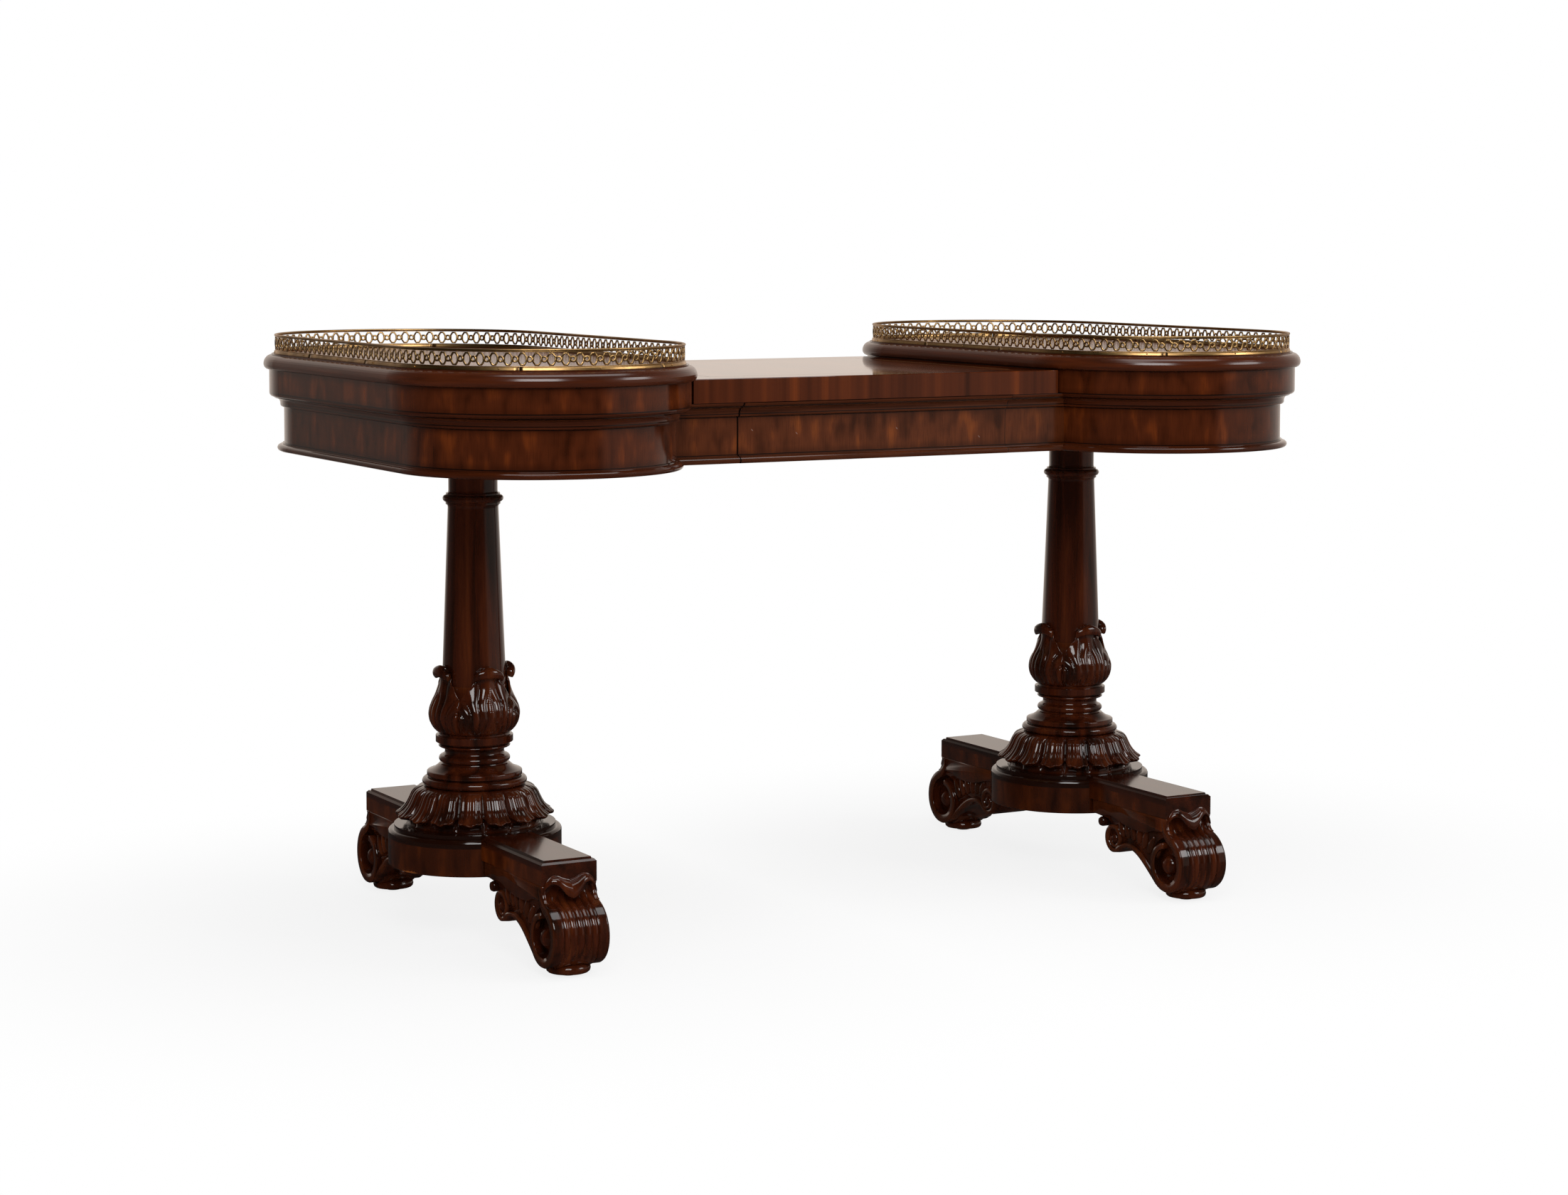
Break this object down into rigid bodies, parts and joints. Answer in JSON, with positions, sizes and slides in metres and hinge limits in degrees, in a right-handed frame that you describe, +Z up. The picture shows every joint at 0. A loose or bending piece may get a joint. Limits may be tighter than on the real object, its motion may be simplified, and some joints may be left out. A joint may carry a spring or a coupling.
{
  "type": "games table",
  "caption": "Long games table: raised round-ended trays with pierced galleries, sliding top over a backgammon well, front drawer, and carved column pedestals on scroll feet.",
  "frame": {"origin": "on the floor, at the middle of the table between the two pedestals", "axes": "+X to the right along the length, -Y to the drawer side, +Z up"},
  "size_m": [1.3528, 0.8162, 0.7875],
  "materials": {
    "crossbanded_mahogany": "gloss",
    "turned_mahogany": "gloss",
    "polished_top": "high gloss",
    "carcass_wood": "matte",
    "well_veneer": "satin",
    "drawer_lining": "matte",
    "boxwood_inlay": "satin",
    "ebony_inlay": "satin",
    "gallery_brass": "aged polish",
    "steel": "satin"
  },
  "bodies": {
    "table": {"left_tray_top": "turned_mahogany", "left_end_bottom": "carcass_wood", "left_front_bow": "crossbanded_mahogany", "left_back_bow": "crossbanded_mahogany", "left_outer_side": "crossbanded_mahogany", "left_inner_side": "crossbanded_mahogany", "left_gallery_front": "gallery_brass", "left_gallery_back": "gallery_brass", "right_tray_top": "turned_mahogany", "right_end_bottom": "carcass_wood", "right_front_bow": "crossbanded_mahogany", "right_back_bow": "crossbanded_mahogany", "right_outer_side": "crossbanded_mahogany", "right_inner_side": "crossbanded_mahogany", "right_gallery_front": "gallery_brass", "right_gallery_back": "gallery_brass", "left_front_flank": "crossbanded_mahogany", "right_front_flank": "crossbanded_mahogany", "left_back_flank": "crossbanded_mahogany", "right_back_flank": "crossbanded_mahogany", "dummy_drawer_front": "crossbanded_mahogany", "well_rails": "carcass_wood", "well_cheeks": "carcass_wood", "well_floor": "well_veneer", "well_bar": "turned_mahogany", "light_points": "boxwood_inlay", "dark_points": "ebony_inlay", "drawer_runners": "carcass_wood", "drawer_stops": "carcass_wood", "left_column": "turned_mahogany", "left_vase": "turned_mahogany", "left_turned_base": "turned_mahogany", "left_leaf_bell": "turned_mahogany", "left_platform": "turned_mahogany", "left_front_arm": "turned_mahogany", "left_back_arm": "turned_mahogany", "left_front_foot": "turned_mahogany", "left_back_foot": "turned_mahogany", "right_column": "turned_mahogany", "right_vase": "turned_mahogany", "right_turned_base": "turned_mahogany", "right_leaf_bell": "turned_mahogany", "right_platform": "turned_mahogany", "right_front_arm": "turned_mahogany", "right_back_arm": "turned_mahogany", "right_front_foot": "turned_mahogany", "right_back_foot": "turned_mahogany", "tie_rods": "steel"},
    "sliding_top": {"top_panel": "polished_top", "light_squares": "boxwood_inlay", "dark_squares": "ebony_inlay"},
    "drawer": {"drawer_front": "crossbanded_mahogany", "drawer_left_side": "drawer_lining", "drawer_right_side": "drawer_lining", "drawer_back": "drawer_lining", "drawer_bottom": "drawer_lining"},
    "left_front_glide_screw": {"left_front_glide": "steel"},
    "left_back_glide_screw": {"left_back_glide": "steel"},
    "right_front_glide_screw": {"right_front_glide": "steel"},
    "right_back_glide_screw": {"right_back_glide": "steel"}
  },
  "joints": [
    {"name": "top_slide", "type": "slide", "parent": "table", "child": "sliding_top", "axis": [0, -1, 0], "range_m": [0, 0.3]},
    {"name": "drawer_slide", "type": "slide", "parent": "table", "child": "drawer", "axis": [0, -1, 0], "range_m": [0, 0.3]},
    {"name": "left_front_levelling", "type": "slide", "parent": "table", "child": "left_front_glide_screw", "axis": [0, 0, -1], "range_m": [0, 0.01]},
    {"name": "left_back_levelling", "type": "slide", "parent": "table", "child": "left_back_glide_screw", "axis": [0, 0, -1], "range_m": [0, 0.01]},
    {"name": "right_front_levelling", "type": "slide", "parent": "table", "child": "right_front_glide_screw", "axis": [0, 0, -1], "range_m": [0, 0.01]},
    {"name": "right_back_levelling", "type": "slide", "parent": "table", "child": "right_back_glide_screw", "axis": [0, 0, -1], "range_m": [0, 0.01]}
  ]
}
